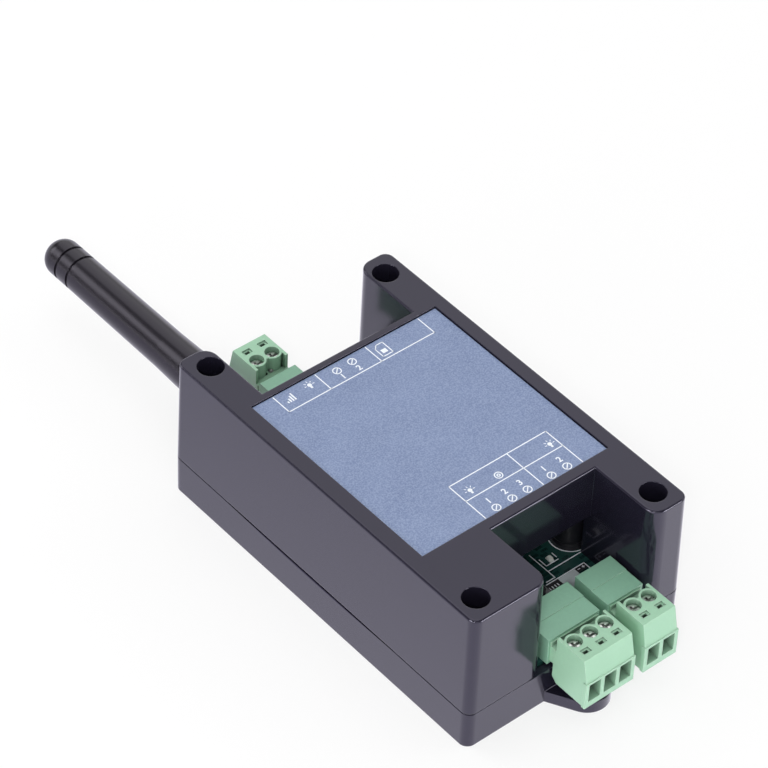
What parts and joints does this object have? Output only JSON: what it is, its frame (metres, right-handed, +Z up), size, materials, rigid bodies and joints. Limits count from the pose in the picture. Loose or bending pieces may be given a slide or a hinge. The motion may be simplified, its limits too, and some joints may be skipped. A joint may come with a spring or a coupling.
{
  "type": "mobile network gate relay controller",
  "caption": "Two-part plastic box with end windows over pluggable green screw terminals, a blank label plate, mounting ears and a stub antenna.",
  "frame": {"origin": "centre of the base's underside, midway between the two ear holes", "axes": "+X to the right and +Y away, seen from the relay output end; +Y points at the antenna end; +Z up out of the label"},
  "size_m": [0.0708, 0.2065, 0.0438],
  "materials": {
    "case_plastic": "glossy near-black ABS",
    "label_film": "satin blue-grey polyester with fine speckle",
    "zinc_steel": "bright zinc plate",
    "board_laminate": "green solder mask",
    "header_plastic": "green polyamide",
    "plug_plastic": "light green polyamide",
    "tinned_pin": "tin plate",
    "clamp_nickel": "nickel plate",
    "gold_brass": "gold-plated brass",
    "white_insulator": "white fluoropolymer",
    "relay_plastic": "blue moulded case",
    "black_resin": "moulded resin",
    "plated_iron": "zinc-plated soft iron",
    "coil_wire": "enamelled copper winding",
    "contact_metal": "spring bronze with silver contacts",
    "module_laminate": "green solder mask",
    "shield_steel": "tinned sheet",
    "capacitor_sleeve": "shrink sleeve with bare aluminium top",
    "ferrite": "sintered ferrite",
    "led_resin": "clear resin",
    "antenna_rubber": "matt black elastomer",
    "card_plastic": "white card with gold pads below",
    "button_plastic": "moulded"
  },
  "bodies": {
    "case": {"base_shell": "case_plastic", "top_cover": "case_plastic", "label_plate": "label_film", "cover_screws": "zinc_steel", "circuit_board": "board_laminate", "board_screws": "zinc_steel", "relay_header": "header_plastic", "relay_header_pins": "tinned_pin", "power_header": "header_plastic", "power_header_pins": "tinned_pin", "switch_header": "header_plastic", "switch_header_pins": "tinned_pin", "antenna_socket": "gold_brass", "socket_insulator": "white_insulator", "socket_contact": "gold_brass", "relay_case": "relay_plastic", "relay_base": "black_resin", "relay_yoke": "plated_iron", "relay_coil": "coil_wire", "relay_contacts": "contact_metal", "gsm_module": "module_laminate", "gsm_shield": "shield_steel", "microcontroller": "black_resin", "power_capacitor": "capacitor_sleeve", "filter_capacitor": "capacitor_sleeve", "power_inductor": "ferrite", "voltage_regulator": "black_resin", "power_diode": "black_resin", "status_leds": "led_resin", "reset_switch": "shield_steel", "sim_socket": "black_resin", "sim_shell": "shield_steel"},
    "relay_plug": {"relay_plug": "plug_plastic", "relay_plug_contacts": "tinned_pin"},
    "relay_screw_1": {"relay_screw_1": "zinc_steel"},
    "relay_clamp_1": {"relay_clamp_1": "clamp_nickel"},
    "relay_screw_2": {"relay_screw_2": "zinc_steel"},
    "relay_clamp_2": {"relay_clamp_2": "clamp_nickel"},
    "relay_screw_3": {"relay_screw_3": "zinc_steel"},
    "relay_clamp_3": {"relay_clamp_3": "clamp_nickel"},
    "power_plug": {"power_plug": "plug_plastic", "power_plug_contacts": "tinned_pin"},
    "power_screw_1": {"power_screw_1": "zinc_steel"},
    "power_clamp_1": {"power_clamp_1": "clamp_nickel"},
    "power_screw_2": {"power_screw_2": "zinc_steel"},
    "power_clamp_2": {"power_clamp_2": "clamp_nickel"},
    "switch_plug": {"switch_plug": "plug_plastic", "switch_plug_contacts": "tinned_pin"},
    "switch_screw_1": {"switch_screw_1": "zinc_steel"},
    "switch_clamp_1": {"switch_clamp_1": "clamp_nickel"},
    "switch_screw_2": {"switch_screw_2": "zinc_steel"},
    "switch_clamp_2": {"switch_clamp_2": "clamp_nickel"},
    "antenna_core": {"antenna_core": "gold_brass", "antenna_whip": "gold_brass"},
    "antenna_sleeve": {"antenna_sleeve": "antenna_rubber", "antenna_nut": "gold_brass"},
    "sim_card": {"sim_card": "card_plastic"},
    "reset_button": {"reset_button": "button_plastic"},
    "relay_armature": {"relay_armature": "plated_iron"}
  },
  "joints": [
    {"name": "relay_plug_slide", "type": "slide", "parent": "case", "child": "relay_plug", "axis": [0, -1, 0], "range_m": [0, 0.009]},
    {"name": "relay_screw_turn_1", "type": "hinge", "parent": "relay_plug", "child": "relay_screw_1", "pos_m": [0.00458, -0.0626, 0.02], "axis": [0, 0, -1], "range_deg": [0, 1800]},
    {"name": "relay_clamp_rise_1", "type": "slide", "parent": "relay_plug", "child": "relay_clamp_1", "axis": [0, 0, 1], "range_m": [0, 0.0025]},
    {"name": "relay_screw_turn_2", "type": "hinge", "parent": "relay_plug", "child": "relay_screw_2", "pos_m": [-0.0005, -0.0626, 0.02], "axis": [0, 0, -1], "range_deg": [0, 1800]},
    {"name": "relay_clamp_rise_2", "type": "slide", "parent": "relay_plug", "child": "relay_clamp_2", "axis": [0, 0, 1], "range_m": [0, 0.0025]},
    {"name": "relay_screw_turn_3", "type": "hinge", "parent": "relay_plug", "child": "relay_screw_3", "pos_m": [-0.00558, -0.0626, 0.02], "axis": [0, 0, -1], "range_deg": [0, 1800]},
    {"name": "relay_clamp_rise_3", "type": "slide", "parent": "relay_plug", "child": "relay_clamp_3", "axis": [0, 0, 1], "range_m": [0, 0.0025]},
    {"name": "power_plug_slide", "type": "slide", "parent": "case", "child": "power_plug", "axis": [0, -1, 0], "range_m": [0, 0.009]},
    {"name": "power_screw_turn_1", "type": "hinge", "parent": "power_plug", "child": "power_screw_1", "pos_m": [0.01904, -0.0626, 0.02], "axis": [0, 0, -1], "range_deg": [0, 1800]},
    {"name": "power_clamp_rise_1", "type": "slide", "parent": "power_plug", "child": "power_clamp_1", "axis": [0, 0, 1], "range_m": [0, 0.0025]},
    {"name": "power_screw_turn_2", "type": "hinge", "parent": "power_plug", "child": "power_screw_2", "pos_m": [0.01396, -0.0626, 0.02], "axis": [0, 0, -1], "range_deg": [0, 1800]},
    {"name": "power_clamp_rise_2", "type": "slide", "parent": "power_plug", "child": "power_clamp_2", "axis": [0, 0, 1], "range_m": [0, 0.0025]},
    {"name": "switch_plug_slide", "type": "slide", "parent": "case", "child": "switch_plug", "axis": [0, 1, 0], "range_m": [0, 0.009]},
    {"name": "switch_screw_turn_1", "type": "hinge", "parent": "switch_plug", "child": "switch_screw_1", "pos_m": [-0.00394, 0.0633, 0.02], "axis": [0, 0, -1], "range_deg": [0, 1800]},
    {"name": "switch_clamp_rise_1", "type": "slide", "parent": "switch_plug", "child": "switch_clamp_1", "axis": [0, 0, 1], "range_m": [0, 0.0025]},
    {"name": "switch_screw_turn_2", "type": "hinge", "parent": "switch_plug", "child": "switch_screw_2", "pos_m": [0.00114, 0.0633, 0.02], "axis": [0, 0, -1], "range_deg": [0, 1800]},
    {"name": "switch_clamp_rise_2", "type": "slide", "parent": "switch_plug", "child": "switch_clamp_2", "axis": [0, 0, 1], "range_m": [0, 0.0025]},
    {"name": "antenna_travel", "type": "slide", "parent": "case", "child": "antenna_core", "axis": [0, 1, 0], "range_m": [0, 0.00706]},
    {"name": "antenna_turn", "type": "hinge", "parent": "antenna_core", "child": "antenna_sleeve", "pos_m": [-0.0166, 0.066, 0.018], "axis": [0, 1, 0], "range_deg": [0, 3600]},
    {"name": "sim_card_slide", "type": "slide", "parent": "case", "child": "sim_card", "axis": [0, 1, 0], "range_m": [0, 0.012]},
    {"name": "reset_press", "type": "slide", "parent": "case", "child": "reset_button", "axis": [0, 0, -1], "range_m": [0, 0.0003], "stiffness_N_per_m": 3000, "springref_m": -0.0001},
    {"name": "armature_pull", "type": "hinge", "parent": "case", "child": "relay_armature", "pos_m": [-0.0078, -0.0225, 0.023], "axis": [0, -1, 0], "range_deg": [0, 2.5], "stiffness_Nm_per_rad": 0.02, "springref_deg": -2.86}
  ],
  "couplings": [
    {"joint": "relay_screw_turn_1", "follows": "relay_clamp_rise_1", "rad_per_m": 12566},
    {"joint": "relay_screw_turn_2", "follows": "relay_clamp_rise_2", "rad_per_m": 12566},
    {"joint": "relay_screw_turn_3", "follows": "relay_clamp_rise_3", "rad_per_m": 12566},
    {"joint": "power_screw_turn_1", "follows": "power_clamp_rise_1", "rad_per_m": 12566},
    {"joint": "power_screw_turn_2", "follows": "power_clamp_rise_2", "rad_per_m": 12566},
    {"joint": "switch_screw_turn_1", "follows": "switch_clamp_rise_1", "rad_per_m": 12566},
    {"joint": "switch_screw_turn_2", "follows": "switch_clamp_rise_2", "rad_per_m": 12566},
    {"joint": "antenna_travel", "follows": "antenna_turn", "m_per_rad": 0.00011228}
  ]
}
